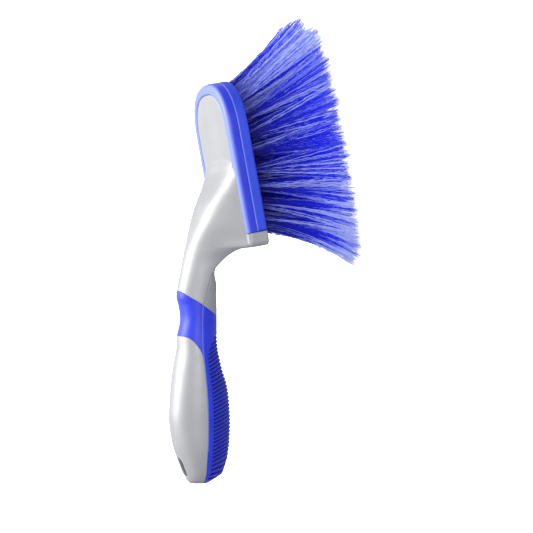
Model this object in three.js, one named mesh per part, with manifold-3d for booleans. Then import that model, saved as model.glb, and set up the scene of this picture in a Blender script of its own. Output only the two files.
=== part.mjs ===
// Car wheel brush with a short handle: a silver body in two shells, soft blue rubber on the grip,
// the thumb rest and the rim of the head, and a drilled block full of bristle tufts.
//
// Head frame, millimetres: X runs along the head, 0 at the nose and negative towards the handle.
// Z is up, 0 at the back face of the head, and the bristles point down. Y is sideways.
// Handle frame: s runs from the handle's end towards the head, f points to the bristle side.

import * as THREE from "three";
import { mergeVertices } from "three/addons/utils/BufferGeometryUtils.js";
import Module from "manifold-3d";

const wasm = await Module();
wasm.setup();

// ---------- driving dimensions ----------

const GAP = 0.3;

const HEAD_LENGTH = 105.5;
const HEAD_HALF_WIDTH = 33.5;
const NOSE_LENGTH = 34;
const NOSE_ROUNDNESS = 2.5;
const HEAD_THICKNESS = 13.4;
const EDGE_RADIUS = 3;
const TAB_LENGTH = 8.7;
const TAB_CORNER = 3;

const RIM_WIDTH = 6.5;
const RIM_HEIGHT = 6.5;
const RIM_WALL = 3;
const PLATE_RECESS = 0.4;
const PAN_WALL = 2.6;

const SPIGOT_HEIGHT = 2;
const HOLE_DIAMETER = 5;
const HOLE_DEPTH = 6;

const TUFT_DIAMETER = 4.4;
const TUFT_INSETS = [6, 17.5];
const TUFT_COUNTS = [20, 16];
const CENTRE_TUFTS = 7;
const CENTRE_NOSE_X = -29;
const TAIL_TUFT_X = [-91, -85.8];
const TRIM_DEPTH = 59.5;
const FREE_LENGTH = 64.5;
const FAN_X = 1.69;
const FAN_SHIFT = 37;
const FAN_Y = 1.25;
const FLARE_START = -45;
const FLARE_SPAN = 39;
const NOSE_FLARE = 13.5;
const NOSE_TRIM = 9;
const TIP_RADIUS = 4.9;

const HANDLE_TILT = THREE.MathUtils.degToRad(10.2);
const HANDLE_END_X = -245.1;
const HANDLE_END_Z = 47.9;
const SHELL_WALL = 2.8;
const RUBBER = 2.3;
const FRONT_SHELL_TOP = 130;
const BACK_ROUNDNESS = 2.2;
const NECK_ROUNDNESS = 3;
const NECK_SQUARES = [136, 164];
const FRONT_ROUNDNESS = 1.75;

const RIB_COUNT = 36;
const RIB_PITCH = 2.35;
const FIRST_RIB = 3;
const RIB_DEPTH = 1.1;
const RIB_ARCH = 7;
const ARCH_FADE = 12;
const RIB_BORDER = 0.2;

const HANG_HOLE_S = 10.2;
const HANG_HOLE_LENGTH = 11.6;
const HANG_HOLE_WIDTH = 8;
const HANG_HOLE_WALL = 2;

// Edges of the rubber in the handle's side view, as [s, f].
const GRIP_TOP = [[110.9, -1.3], [103.4, 11.3]];
const THUMB_TOP = [[120.6, -15], [116.4, -9.8], [111.2, -1.6], [109.8, 0.5]];
const THUMB_BOTTOM = [[92.2, -14], [90.6, -10], [86.3, -6], [80.6, -2.9], [74, -2], [74, 0.5]];

// Places along the handle where the hollow has a section, and its reach down through the head.
const THUMB_HOLLOW = [72, 122];
const CAVITY_PLACES = [6, 9, 16, 24, 39, 52, 61, 71, 71.5, 83, 92, 102, 110.6, 116.3, 121.5, 124, 128];
const NECK_PLACES = [122, 130, 138, 145, 150, 151.5, 161, 174, 184];
const NECK_OPENS_AT = 151;
const NECK_OPEN = 6;
const NECK_FLOOR_SHIFT = 3.5;
const NECK_FLOOR_WALL = 1.5;

const RING_STEPS = 24;
const NOSE_STEPS = 20;
const FAR = 150;

const SILVER = { color: 0xc9cbd0, roughness: 0.32, metalness: 0.35 };
const BLUE_RUBBER = { color: 0x2c3fd6, roughness: 0.5, metalness: 0 };
const BLUE_PLASTIC = { color: 0x2747d0, roughness: 0.4, metalness: 0 };
const BRISTLE = { color: 0x1c1fc4, roughness: 0.45, metalness: 0 };

// Profile of the handle, the waist and the neck. Each station gives its place s along the handle,
// the back, the widest line and the front as f, and the half width at the back and at the widest line.
const STATIONS = [
  { s: 0, back: -7.6, side: -1, front: 4, backHalf: 5.8, half: 5.8 },
  { s: 2, back: -9.2, side: -1.1, front: 7.2, backHalf: 10.2, half: 10.2 },
  { s: 5, back: -10.8, side: -1.1, front: 12.6, backHalf: 12.7, half: 12.7 },
  { s: 8, back: -12.2, side: -1, front: 14.4, backHalf: 13.9, half: 13.9 },
  { s: 15.6, back: -15, side: -0.9, front: 16.8, backHalf: 15.5, half: 15.5 },
  { s: 24, back: -17.9, side: -0.7, front: 18.2, backHalf: 16.5, half: 16.5 },
  { s: 39, back: -20.1, side: -0.5, front: 18.9, backHalf: 17, half: 17 },
  { s: 52, back: -19.5, side: -0.8, front: 18.3, backHalf: 17, half: 17 },
  { s: 61, back: -18.7, side: -1.2, front: 17, backHalf: 16.6, half: 16.6 },
  { s: 71, back: -17.3, side: -1.8, front: 14, backHalf: 15.8, half: 15.8 },
  { s: 83, back: -15, side: -2.4, front: 11.4, backHalf: 14, half: 14 },
  { s: 92, back: -14.4, side: -2.2, front: 10.8, backHalf: 12.8, half: 12.8 },
  { s: 102, back: -12.3, side: -1.9, front: 10.9, backHalf: 12, half: 12 },
  { s: 110.6, back: -13.2, side: -1.3, front: 10.9, backHalf: 12, half: 12 },
  { s: 116.3, back: -14.6, side: 0, front: 10.6, backHalf: 12.4, half: 12.4 },
  { s: 123.8, back: -13.6, side: 1.9, front: 10.6, backHalf: 13, half: 13 },
  { s: 133, back: -11.7, side: 4.9, front: 8.6, backHalf: 14, half: 14 },
  { s: 138.1, back: -10.6, side: 10, front: 10.6, backHalf: 15.2, half: 15.5 },
  { s: 142.2, back: -9.6, side: 14, front: 14.5, backHalf: 16.4, half: 18.5 },
  { s: 145.4, back: -8.8, side: 18.5, front: 18.9, backHalf: 17.5, half: 24.8 },
  { s: 147, back: -8.3, side: 22.5, front: 22.8, backHalf: 18.4, half: 30.8 },
  { s: 152, back: -6.8, side: 23, front: 23.2, backHalf: 20, half: 31 },
  { s: 161.3, back: -3.9, side: 21.3, front: 21.5, backHalf: 22.8, half: 31 },
  { s: 173.8, back: 0.8, side: 19, front: 19.2, backHalf: 25.4, half: 31 },
  { s: 186.3, back: 7.3, side: 16.6, front: 16.8, backHalf: 27.5, half: 31 },
  { s: 194, back: 10.6, side: 15.3, front: 15.5, backHalf: 26.5, half: 30.5 },
  { s: 198, back: 11.6, side: 14.7, front: 14.9, backHalf: 23, half: 26.5 },
  { s: 201, back: 13, side: 14.2, front: 14.4, backHalf: 17, half: 19 },
];

// ---------- small tools ----------

function toSolid(geometry) {
  const plain = geometry.clone();
  plain.deleteAttribute("normal");
  plain.deleteAttribute("uv");
  const merged = mergeVertices(plain, 1e-4);
  const mesh = new wasm.Mesh({
    numProp: 3,
    vertProperties: new Float32Array(merged.attributes.position.array),
    triVerts: new Uint32Array(merged.index.array),
  });
  mesh.merge();
  return new wasm.Manifold(mesh);
}

function toGeometry(solid) {
  const mesh = solid.getMesh();
  const geometry = new THREE.BufferGeometry();
  geometry.setAttribute("position", new THREE.BufferAttribute(mesh.vertProperties, mesh.numProp));
  geometry.setIndex(new THREE.BufferAttribute(mesh.triVerts, 1));
  geometry.computeVertexNormals();
  return geometry;
}

// A closed body through rings of points that all run the same way, with a centre point on each end.
function loft(rings) {
  const count = rings[0].length;
  const points = rings.flat();
  const faces = [];
  for (let r = 0; r < rings.length - 1; r += 1) {
    for (let i = 0; i < count; i += 1) {
      const a = r * count + i;
      const b = r * count + ((i + 1) % count);
      faces.push(a, b, b + count, a, b + count, a + count);
    }
  }
  const firstCentre = points.push(centreOf(rings[0])) - 1;
  const lastCentre = points.push(centreOf(rings.at(-1))) - 1;
  const lastStart = (rings.length - 1) * count;
  for (let i = 0; i < count; i += 1) {
    const next = (i + 1) % count;
    faces.push(firstCentre, next, i);
    faces.push(lastCentre, lastStart + i, lastStart + next);
  }
  if (signedVolume(points, faces) < 0) faces.reverse();
  const geometry = new THREE.BufferGeometry().setFromPoints(points);
  geometry.setIndex(faces);
  return geometry;
}

function signedVolume(points, faces) {
  let volume = 0;
  const corner = new THREE.Vector3();
  for (let i = 0; i < faces.length; i += 3) {
    corner.crossVectors(points[faces[i + 1]], points[faces[i + 2]]);
    volume += points[faces[i]].dot(corner) / 6;
  }
  return volume;
}

function centreOf(ring) {
  const sum = ring.reduce((total, point) => total.add(point), new THREE.Vector3());
  return sum.divideScalar(ring.length);
}

function box(x0, x1, y0, y1, z0, z1) {
  const geometry = new THREE.BoxGeometry(x1 - x0, y1 - y0, z1 - z0);
  geometry.translate((x0 + x1) / 2, (y0 + y1) / 2, (z0 + z1) / 2);
  return toSolid(geometry);
}

// ---------- handle surface ----------

// Value of one station column at s, by a cubic that keeps the slope continuous.
function profile(column, s) {
  const last = STATIONS.length - 1;
  const clamped = THREE.MathUtils.clamp(s, STATIONS[0].s, STATIONS[last].s);
  let i = 0;
  while (i < last - 1 && STATIONS[i + 1].s < clamped) i += 1;
  const slope = (k) => {
    const before = STATIONS[Math.max(k - 1, 0)];
    const after = STATIONS[Math.min(k + 1, last)];
    return (after[column] - before[column]) / (after.s - before.s);
  };
  const a = STATIONS[i];
  const b = STATIONS[i + 1];
  const width = b.s - a.s;
  const t = (clamped - a.s) / width;
  const rise = t * t * (3 - 2 * t);
  const enter = t * (1 - t) * (1 - t) * width * slope(i);
  const leave = t * t * (t - 1) * width * slope(i + 1);
  return a[column] + (b[column] - a[column]) * rise + enter + leave;
}

function fromHandle(s, f, y) {
  const cos = Math.cos(HANDLE_TILT);
  const sin = Math.sin(HANDLE_TILT);
  return new THREE.Vector3(HANDLE_END_X + s * cos - f * sin, y, HANDLE_END_Z - s * sin - f * cos);
}

// Point of the handle surface. The angle is 0 at the middle of the back, a quarter turn at the
// widest line and a half turn at the middle of the front. Inset moves the surface inwards.
function handlePoint(s, angle, inset) {
  const back = profile("back", s) + inset;
  const side = profile("side", s);
  const front = Math.max(profile("front", s) - inset, side + 0.2);
  const backHalf = profile("backHalf", s) - inset;
  const half = profile("half", s) - inset;
  const sin = Math.abs(Math.sin(angle));
  const cos = Math.abs(Math.cos(angle));
  const sign = Math.sign(Math.sin(angle));
  if (Math.cos(angle) >= 0) {
    const squared = THREE.MathUtils.smoothstep(s, ...NECK_SQUARES);
    const round = 2 / THREE.MathUtils.lerp(BACK_ROUNDNESS, NECK_ROUNDNESS, squared);
    const flare = (half - backHalf) * (1 - cos) ** 3;
    return fromHandle(s, side - (side - back) * cos ** round, sign * (backHalf * sin ** round + flare));
  }
  const round = 2 / FRONT_ROUNDNESS;
  return fromHandle(s, side + (front - side) * cos ** round, sign * half * sin ** round);
}

function handleRing(s, inset) {
  const ring = [];
  for (let i = 0; i < RING_STEPS; i += 1) {
    ring.push(handlePoint(s, (i / RING_STEPS) * 2 * Math.PI - Math.PI, inset));
  }
  return ring;
}

// Handle body moved inwards by the inset (outwards where it is negative).
function handleBody(inset, from = Math.max(inset, 0), to = STATIONS.at(-1).s) {
  const places = STATIONS.map((station) => station.s).filter((s) => s > from + 1 && s < to - 1);
  const rings = [from, ...places, to].map((s) => handleRing(s, inset));
  return toSolid(loft(rings));
}

// Prism across the full width from an outline in the handle's side view, as [s, f] pairs.
function sidePrism(outline) {
  const corners = outline.map(([s, f]) => fromHandle(s, f, 0)).map((p) => new THREE.Vector2(p.x, p.z));
  const shape = new THREE.Shape(corners);
  const geometry = new THREE.ExtrudeGeometry(shape, { depth: 2 * FAR, bevelEnabled: false });
  geometry.translate(0, 0, -FAR);
  geometry.rotateX(Math.PI / 2);
  return toSolid(geometry);
}

// Space in front of the parting line, which follows the widest line of the handle.
function frontSpace(shift, top) {
  const outline = [[top, FAR], [-FAR, FAR], [-FAR, profile("side", 0) + shift]];
  for (let s = 0; s < top; s += 5) outline.push([s, profile("side", s) + shift]);
  outline.push([top, profile("side", top) + shift]);
  return sidePrism(outline);
}

// Space that the rubber on the front takes up, below its slanted top edge.
function gripSpace(grow) {
  const [[edgeS, edgeF], [frontS, frontF]] = GRIP_TOP;
  return sidePrism([
    [-FAR, -FAR], [edgeS + grow, -FAR], [edgeS + grow, edgeF],
    [frontS + grow, frontF], [frontS + grow, FAR], [-FAR, FAR],
  ]);
}

// Space of the thumb rest on the back of the waist.
function thumbSpace(grow) {
  const upper = THUMB_TOP.map(([s, f]) => [s + grow, f]);
  const lower = THUMB_BOTTOM.map(([s, f]) => [s - grow, f]);
  return sidePrism([[upper[0][0], -FAR], ...upper, ...lower.reverse(), [lower[lower.length - 1][0], -FAR]]);
}

function hangingHole(grow) {
  const ringAt = (f) => {
    const ring = [];
    const radius = HANG_HOLE_WIDTH / 2 + grow;
    const reach = (HANG_HOLE_LENGTH - HANG_HOLE_WIDTH) / 2;
    const steps = 16;
    for (let i = 0; i < steps; i += 1) {
      const angle = ((i + 0.5) / steps) * 2 * Math.PI;
      const along = Math.cos(angle) * radius + Math.sign(Math.cos(angle)) * reach;
      ring.push(fromHandle(HANG_HOLE_S + along, f, Math.sin(angle) * radius));
    }
    return ring;
  };
  return toSolid(loft([ringAt(-FAR / 2), ringAt(FAR / 2)]));
}

// Hollow inside both shells. It is deeper under the rubber and runs on into the head.
function cavityPoint(s, angle) {
  const sideways = Math.abs(Math.sin(angle));
  const underThumb = s > THUMB_HOLLOW[0] && s < THUMB_HOLLOW[1];
  const deep = SHELL_WALL + RUBBER;
  const front = Math.cos(angle) < 0;
  const inset = front || underThumb ? deep : THREE.MathUtils.lerp(SHELL_WALL, deep, sideways);
  return handlePoint(s, angle, inset);
}

function handleHollow() {
  const rings = CAVITY_PLACES.map((s) => {
    const ring = [];
    for (let i = 0; i < RING_STEPS; i += 1) {
      ring.push(cavityPoint(s, (i / RING_STEPS) * 2 * Math.PI - Math.PI));
    }
    return ring;
  });
  return toSolid(loft(rings));
}

// Hollow of the neck where it stands on the head; it opens downwards through the head's plate.
function neckHollow() {
  const rings = NECK_PLACES.map((s) => {
    const back = profile("back", s) + SHELL_WALL;
    const open = s > NECK_OPENS_AT;
    const side = open ? profile("side", s) : profile("side", s - NECK_FLOOR_SHIFT) - NECK_FLOOR_WALL;
    const half = profile("backHalf", s) - SHELL_WALL;
    const floor = open ? side + NECK_OPEN : side + GAP;
    const ring = [];
    for (let i = 0; i <= RING_STEPS / 2; i += 1) {
      const angle = (i / (RING_STEPS / 2)) * Math.PI - Math.PI / 2;
      ring.push(fromHandle(s, side - (side - back) * Math.cos(angle), half * Math.sin(angle)));
    }
    ring.push(fromHandle(s, floor, half), fromHandle(s, floor, -half));
    return ring;
  });
  return toSolid(loft(rings));
}

// ---------- head ----------

// Open outline of the head, moved inwards by the inset, from its tail round the blunt nose and back.
function headOutline(inset, tail) {
  const half = HEAD_HALF_WIDTH - inset;
  const round = 2 / NOSE_ROUNDNESS;
  const outline = [new THREE.Vector2(tail, -half)];
  for (let i = 0; i <= NOSE_STEPS; i += 1) {
    const angle = (i / NOSE_STEPS - 0.5) * Math.PI;
    const along = (NOSE_LENGTH - inset) * Math.abs(Math.cos(angle)) ** round;
    const across = half * Math.sign(angle) * Math.abs(Math.sin(angle)) ** round;
    outline.push(new THREE.Vector2(along - NOSE_LENGTH, across));
  }
  outline.push(new THREE.Vector2(tail, half));
  return outline;
}

// Closed outline of the head at a height, with round corners at its tail.
function headRing(z, inset, tail, corner = 0) {
  const half = HEAD_HALF_WIDTH - inset;
  const points = headOutline(inset, tail + corner);
  if (corner > 0) {
    const path = new THREE.Path();
    path.absarc(tail + corner, half - corner, corner, Math.PI / 2, Math.PI, false);
    path.absarc(tail + corner, corner - half, corner, Math.PI, 1.5 * Math.PI, false);
    points.push(...path.getPoints(NOSE_STEPS));
  }
  const ring = points.map((point) => new THREE.Vector3(point.x, point.y, z));
  return ring.filter((point, i) => point.distanceTo(ring[(i + 1) % ring.length]) > 1e-3);
}

function headPrism(levels) {
  return toSolid(loft(levels.map(([z, inset, tail, corner]) => headRing(z, inset, tail, corner))));
}

// Levels of a quarter-round edge that ends at the given height.
function roundedEdge(top, radius, inset, tail, corner) {
  const levels = [];
  const steps = 4;
  for (let i = 0; i <= steps; i += 1) {
    const angle = (i / steps) * (Math.PI / 2);
    const z = top - radius * (1 - Math.sin(angle));
    levels.push([z, inset + radius * (1 - Math.cos(angle)), tail + radius * (1 - Math.cos(angle)), corner]);
  }
  return levels;
}

function panOuter(grow, top) {
  const step = RIM_WALL + GAP - grow;
  const oval = RIM_WIDTH + GAP - grow;
  const ledge = -RIM_WALL - GAP + grow;
  return headPrism([
    [-RIM_HEIGHT, step, -HEAD_LENGTH + TAB_LENGTH / 2],
    [ledge, step, -HEAD_LENGTH + TAB_LENGTH / 2],
    [ledge, oval, -HEAD_LENGTH + TAB_LENGTH / 2],
    [top, oval, -HEAD_LENGTH + TAB_LENGTH / 2],
  ]);
}

function tailTab() {
  const round = roundedEdge(0, EDGE_RADIUS, 0, -HEAD_LENGTH, TAB_CORNER);
  const low = [-HEAD_THICKNESS, 0.8, -HEAD_LENGTH + 2.5, TAB_CORNER];
  const side = [-HEAD_THICKNESS + 2, 0, -HEAD_LENGTH, TAB_CORNER];
  const whole = headPrism([low, side, ...round]);
  const inner = HEAD_LENGTH - TAB_LENGTH;
  return whole.subtract(box(-inner, FAR, -FAR, FAR, -FAR, FAR));
}

function panHollow() {
  const inset = RIM_WALL + GAP + PAN_WALL;
  const tail = -HEAD_LENGTH + TAB_LENGTH;
  return headPrism([[-FAR, inset, tail], [-PLATE_RECESS - PAN_WALL, inset, tail]]);
}

// ---------- sub-parts ----------

const body = handleBody(0);
const underRubber = handleBody(RUBBER + GAP);
const hollow = handleHollow();
const hole = hangingHole(0);
const holeWall = hangingHole(HANG_HOLE_WALL);

function rearShell() {
  const thumbRecess = thumbSpace(GAP).subtract(underRubber);
  const handle = body.subtract(frontSpace(-GAP / 2, FRONT_SHELL_TOP + GAP)).subtract(thumbRecess);
  const boss = holeWall.intersect(handleBody(1)).subtract(frontSpace(-GAP / 2, FRONT_SHELL_TOP));
  const head = panOuter(0, -PLATE_RECESS).add(tailTab());
  const outer = handle.subtract(hollow).add(head);
  return outer.subtract(neckHollow()).subtract(panHollow()).add(boss).subtract(hole);
}

function frontShell() {
  const front = frontSpace(GAP / 2, FRONT_SHELL_TOP);
  const bare = body.subtract(gripSpace(GAP));
  const shell = underRubber.add(bare).intersect(front).subtract(hollow);
  const boss = holeWall.intersect(handleBody(RUBBER + GAP + 1)).intersect(front);
  return shell.add(boss).subtract(hole);
}

function ribbedBody() {
  const rings = [handleRing(0, 0)];
  const ringAt = (base, depth) => {
    const ring = [];
    for (let i = 0; i < RING_STEPS; i += 1) {
      const angle = (i / RING_STEPS) * 2 * Math.PI - Math.PI;
      const facing = Math.max(-Math.cos(angle), 0);
      const arch = RIB_ARCH * facing * Math.min(1, base / ARCH_FADE);
      const inField = -Math.cos(angle) > RIB_BORDER;
      ring.push(handlePoint(base + arch, angle, inField ? depth : 0));
    }
    return ring;
  };
  for (let k = 0; k < RIB_COUNT; k += 1) {
    rings.push(ringAt(FIRST_RIB + (k - 0.5) * RIB_PITCH, 0));
    rings.push(ringAt(FIRST_RIB + k * RIB_PITCH, RIB_DEPTH));
  }
  const lastRib = FIRST_RIB + (RIB_COUNT - 0.5) * RIB_PITCH;
  for (let base = lastRib; base < FRONT_SHELL_TOP; base += 6) rings.push(ringAt(base, 0));
  return toSolid(loft(rings));
}

function frontGrip() {
  const cover = ribbedBody().subtract(handleBody(RUBBER));
  return cover.intersect(frontSpace(GAP / 2, FRONT_SHELL_TOP)).intersect(gripSpace(0)).subtract(hole);
}

function thumbRest() {
  const saddle = body.subtract(handleBody(RUBBER));
  return saddle.intersect(thumbSpace(0)).subtract(frontSpace(-GAP / 2, FRONT_SHELL_TOP));
}

function headBumper() {
  const tail = -HEAD_LENGTH + TAB_LENGTH + GAP;
  const outer = headPrism([[-RIM_HEIGHT, 0, tail], ...roundedEdge(0, EDGE_RADIUS, 0, tail)]);
  const square = outer.subtract(box(-FAR, tail, -FAR, FAR, -FAR, FAR));
  return square.subtract(panOuter(GAP, GAP)).subtract(handleBody(-GAP, 100));
}

// The inner row starts half a step further forward, so that it fills the gaps of the outer row.
function tuftRoots() {
  const roots = TUFT_INSETS.map((inset, row) => {
    const path = new THREE.Path(headOutline(inset, TAIL_TUFT_X[row]));
    return path.getSpacedPoints(TUFT_COUNTS[row] - 1);
  });
  const centre = [];
  for (let i = 0; i < CENTRE_TUFTS; i += 1) {
    const x = THREE.MathUtils.lerp(TAIL_TUFT_X[0], CENTRE_NOSE_X, i / (CENTRE_TUFTS - 1));
    centre.push(new THREE.Vector2(x, 0));
  }
  return { outer: roots[0], inner: roots[1], centre };
}

function tuftBlock() {
  const tail = -HEAD_LENGTH + TAB_LENGTH + GAP;
  const top = -RIM_HEIGHT - GAP;
  const spigot = RIM_WALL + PAN_WALL + 2 * GAP;
  let solid = headPrism([
    [-HEAD_THICKNESS, 1, tail + 1],
    [-HEAD_THICKNESS + 1, 0, tail],
    [top, 0, tail],
    [top, spigot, tail + GAP],
    [top + SPIGOT_HEIGHT, spigot, tail + GAP],
  ]);
  for (const root of Object.values(tuftRoots()).flat()) {
    const bore = new THREE.CylinderGeometry(HOLE_DIAMETER / 2, HOLE_DIAMETER / 2, 2 * HOLE_DEPTH, 10);
    bore.rotateX(Math.PI / 2);
    bore.translate(root.x, root.y, -HEAD_THICKNESS);
    solid = solid.subtract(toSolid(bore));
  }
  return solid;
}

// How far a place on the head lies in the nose's flare, as a square law.
function flare(x) {
  return Math.max((x - FLARE_START) / FLARE_SPAN, 0) ** 2;
}

// One tuft: straight in its hole, then fanned out to its share of the trimmed face. No filament is
// longer than the free length, so the outermost ends stop short of the trim.
function tuft(root) {
  const steps = 8;
  const radius = TUFT_DIAMETER / 2;
  const rings = [[], [], []];
  for (let i = 0; i < steps; i += 1) {
    const angle = ((i + 0.5) / steps) * 2 * Math.PI;
    const cos = Math.cos(angle);
    const sin = Math.sin(angle);
    const x = root.x + radius * cos;
    const y = root.y + radius * sin;
    const cellX = root.x + TIP_RADIUS * cos;
    const tipX = cellX * FAN_X + FAN_SHIFT + NOSE_FLARE * flare(cellX);
    const tipY = (root.y + TIP_RADIUS * sin) * FAN_Y;
    const free = FREE_LENGTH - NOSE_TRIM * flare(root.x);
    const share = Math.min(1, free / Math.hypot(tipX - x, tipY - y, TRIM_DEPTH));
    const face = -HEAD_THICKNESS;
    const tipZ = face - share * TRIM_DEPTH;
    rings[0].push(new THREE.Vector3(x + (tipX - x) * share, y + (tipY - y) * share, tipZ));
    rings[1].push(new THREE.Vector3(x, y, face));
    rings[2].push(new THREE.Vector3(x, y, face + HOLE_DEPTH - GAP));
  }
  return toSolid(loft(rings));
}

// ---------- assembly ----------

function named(name, solid, look) {
  const mesh = new THREE.Mesh(toGeometry(solid), new THREE.MeshStandardMaterial(look));
  mesh.name = name;
  return mesh;
}

const brush = new THREE.Group();
brush.add(named("rear_shell", rearShell(), SILVER));
brush.add(named("front_shell", frontShell(), SILVER));
brush.add(named("front_grip", frontGrip(), BLUE_RUBBER));
brush.add(named("thumb_rest", thumbRest(), BLUE_RUBBER));
brush.add(named("head_bumper", headBumper(), BLUE_RUBBER));
brush.add(named("tuft_block", tuftBlock(), BLUE_PLASTIC));
for (const [row, roots] of Object.entries(tuftRoots())) {
  roots.forEach((root, i) => {
    const number = String(i + 1).padStart(2, "0");
    brush.add(named(`${row}_tuft_${number}`, tuft(root), BRISTLE));
  });
}

// The part stands on its trimmed bristles, centred over the floor.
const extent = new THREE.Box3().setFromObject(brush);
brush.position.set(-(extent.min.x + extent.max.x) / 2, -(extent.min.y + extent.max.y) / 2, -extent.min.z);

export default brush;
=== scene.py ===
import math

import bmesh
import bpy
import numpy as np
from mathutils import Matrix, Vector
from mathutils.geometry import delaunay_2d_cdt


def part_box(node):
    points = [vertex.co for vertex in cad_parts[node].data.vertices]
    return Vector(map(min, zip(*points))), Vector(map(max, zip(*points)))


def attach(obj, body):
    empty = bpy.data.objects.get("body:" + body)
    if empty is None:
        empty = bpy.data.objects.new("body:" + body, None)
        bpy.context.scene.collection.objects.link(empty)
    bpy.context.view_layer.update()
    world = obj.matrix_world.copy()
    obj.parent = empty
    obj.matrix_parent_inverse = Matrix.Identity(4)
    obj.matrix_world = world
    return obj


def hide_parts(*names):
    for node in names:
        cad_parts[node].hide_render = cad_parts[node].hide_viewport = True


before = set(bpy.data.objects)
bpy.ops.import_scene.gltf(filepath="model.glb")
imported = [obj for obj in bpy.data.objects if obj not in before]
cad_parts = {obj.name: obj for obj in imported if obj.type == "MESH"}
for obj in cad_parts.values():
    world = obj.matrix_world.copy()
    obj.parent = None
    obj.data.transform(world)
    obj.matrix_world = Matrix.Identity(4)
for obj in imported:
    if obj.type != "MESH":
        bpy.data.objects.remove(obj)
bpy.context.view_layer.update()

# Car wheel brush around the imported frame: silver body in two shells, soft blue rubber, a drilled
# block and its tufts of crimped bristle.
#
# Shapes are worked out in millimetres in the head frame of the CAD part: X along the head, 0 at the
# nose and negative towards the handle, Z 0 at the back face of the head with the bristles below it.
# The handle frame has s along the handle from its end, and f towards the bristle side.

MM = 0.001

# ---------- driving dimensions, as in the CAD part ----------

HEAD_LENGTH = 105.5
HEAD_HALF_WIDTH = 33.5
NOSE_LENGTH = 34.0
NOSE_POWER = 2 / 2.5
HEAD_THICKNESS = 13.4
EDGE_RADIUS = 3.0
TAB_LENGTH = 8.7
TAB_CORNER = 3.0
RIM_WIDTH = 6.5
RIM_HEIGHT = 6.5
RIM_WALL = 3.0
PLATE_RECESS = 0.4
GAP = 0.3

HOLE_DIAMETER = 5.0
HOLE_DEPTH = 6.0
TUFT_DIAMETER = 4.4
TUFT_INSETS = (6.0, 17.5)
TUFT_COUNTS = (20, 16)
CENTRE_TUFTS = 7
CENTRE_NOSE_X = -29.0
TAIL_TUFT_X = (-91.0, -85.8)
TRIM_DEPTH = 59.5
FREE_LENGTH = 64.5
FAN_X = 1.69
FAN_SHIFT = 37.0
FAN_Y = 1.25
TIP_RADIUS = 4.9
FLARE_START = -45.0
FLARE_SPAN = 39.0
NOSE_FLARE = 13.5
NOSE_TRIM = 9.0

TILT = math.radians(10.2)
HANDLE_END_X = -245.1
HANDLE_END_Z = 47.9
RUBBER = 2.3
FRONT_SHELL_TOP = 130.0
BACK_ROUNDNESS = 2.2
NECK_ROUNDNESS = 3.0
NECK_SQUARES = (136, 164)
FRONT_POWER = 2 / 1.75

RIB_COUNT = 36
RIB_PITCH = 2.35
FIRST_RIB = 3.0
RIB_DEPTH = 1.1
RIB_ARCH = 7.0
ARCH_FADE = 12.0
RIB_BORDER = 0.2

HANG_S = 10.2
HANG_LENGTH = 11.6
HANG_WIDTH = 8.0
HANG_RADIUS = HANG_WIDTH / 2
HANG_REACH = HANG_LENGTH / 2 - HANG_RADIUS

# Edges of the rubber in the handle's side view, as (s, f).
GRIP_TOP = ((110.9, -1.3), (103.4, 11.3))
THUMB_TOP = ((120.6, -15), (116.4, -9.8), (111.2, -1.6), (109.8, 0.5))
THUMB_BOTTOM = ((92.2, -14), (90.6, -10), (86.3, -6), (80.6, -2.9), (74, -2), (74, 0.5))

# s, back, widest line and front as f, half width at the back and at the widest line
STATIONS = np.array([
    (0, -7.6, -1, 4, 5.8, 5.8), (2, -9.2, -1.1, 7.2, 10.2, 10.2), (5, -10.8, -1.1, 12.6, 12.7, 12.7),
    (8, -12.2, -1, 14.4, 13.9, 13.9), (15.6, -15, -0.9, 16.8, 15.5, 15.5),
    (24, -17.9, -0.7, 18.2, 16.5, 16.5), (39, -20.1, -0.5, 18.9, 17, 17),
    (52, -19.5, -0.8, 18.3, 17, 17), (61, -18.7, -1.2, 17, 16.6, 16.6),
    (71, -17.3, -1.8, 14, 15.8, 15.8), (83, -15, -2.4, 11.4, 14, 14),
    (92, -14.4, -2.2, 10.8, 12.8, 12.8), (102, -12.3, -1.9, 10.9, 12, 12),
    (110.6, -13.2, -1.3, 10.9, 12, 12), (116.3, -14.6, 0, 10.6, 12.4, 12.4),
    (123.8, -13.6, 1.9, 10.6, 13, 13), (133, -11.7, 4.9, 8.6, 14, 14),
    (138.1, -10.6, 10, 10.6, 15.2, 15.5), (142.2, -9.6, 14, 14.5, 16.4, 18.5),
    (145.4, -8.8, 18.5, 18.9, 17.5, 24.8), (147, -8.3, 22.5, 22.8, 18.4, 30.8),
    (152, -6.8, 23, 23.2, 20, 31), (161.3, -3.9, 21.3, 21.5, 22.8, 31),
    (173.8, 0.8, 19, 19.2, 25.4, 31), (186.3, 7.3, 16.6, 16.8, 27.5, 31),
    (194, 10.6, 15.3, 15.5, 26.5, 30.5), (198, 11.6, 14.7, 14.9, 23, 26.5),
    (201, 13, 14.2, 14.4, 17, 19),
], float)
BACK, SIDE, FRONT, BACK_HALF, HALF = range(1, 6)

# The head's nose and back face give the head frame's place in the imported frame.
HEAD_ORIGIN = np.array([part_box("head_bumper")[1].x, 0.0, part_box("head_bumper")[1].z])

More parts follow.
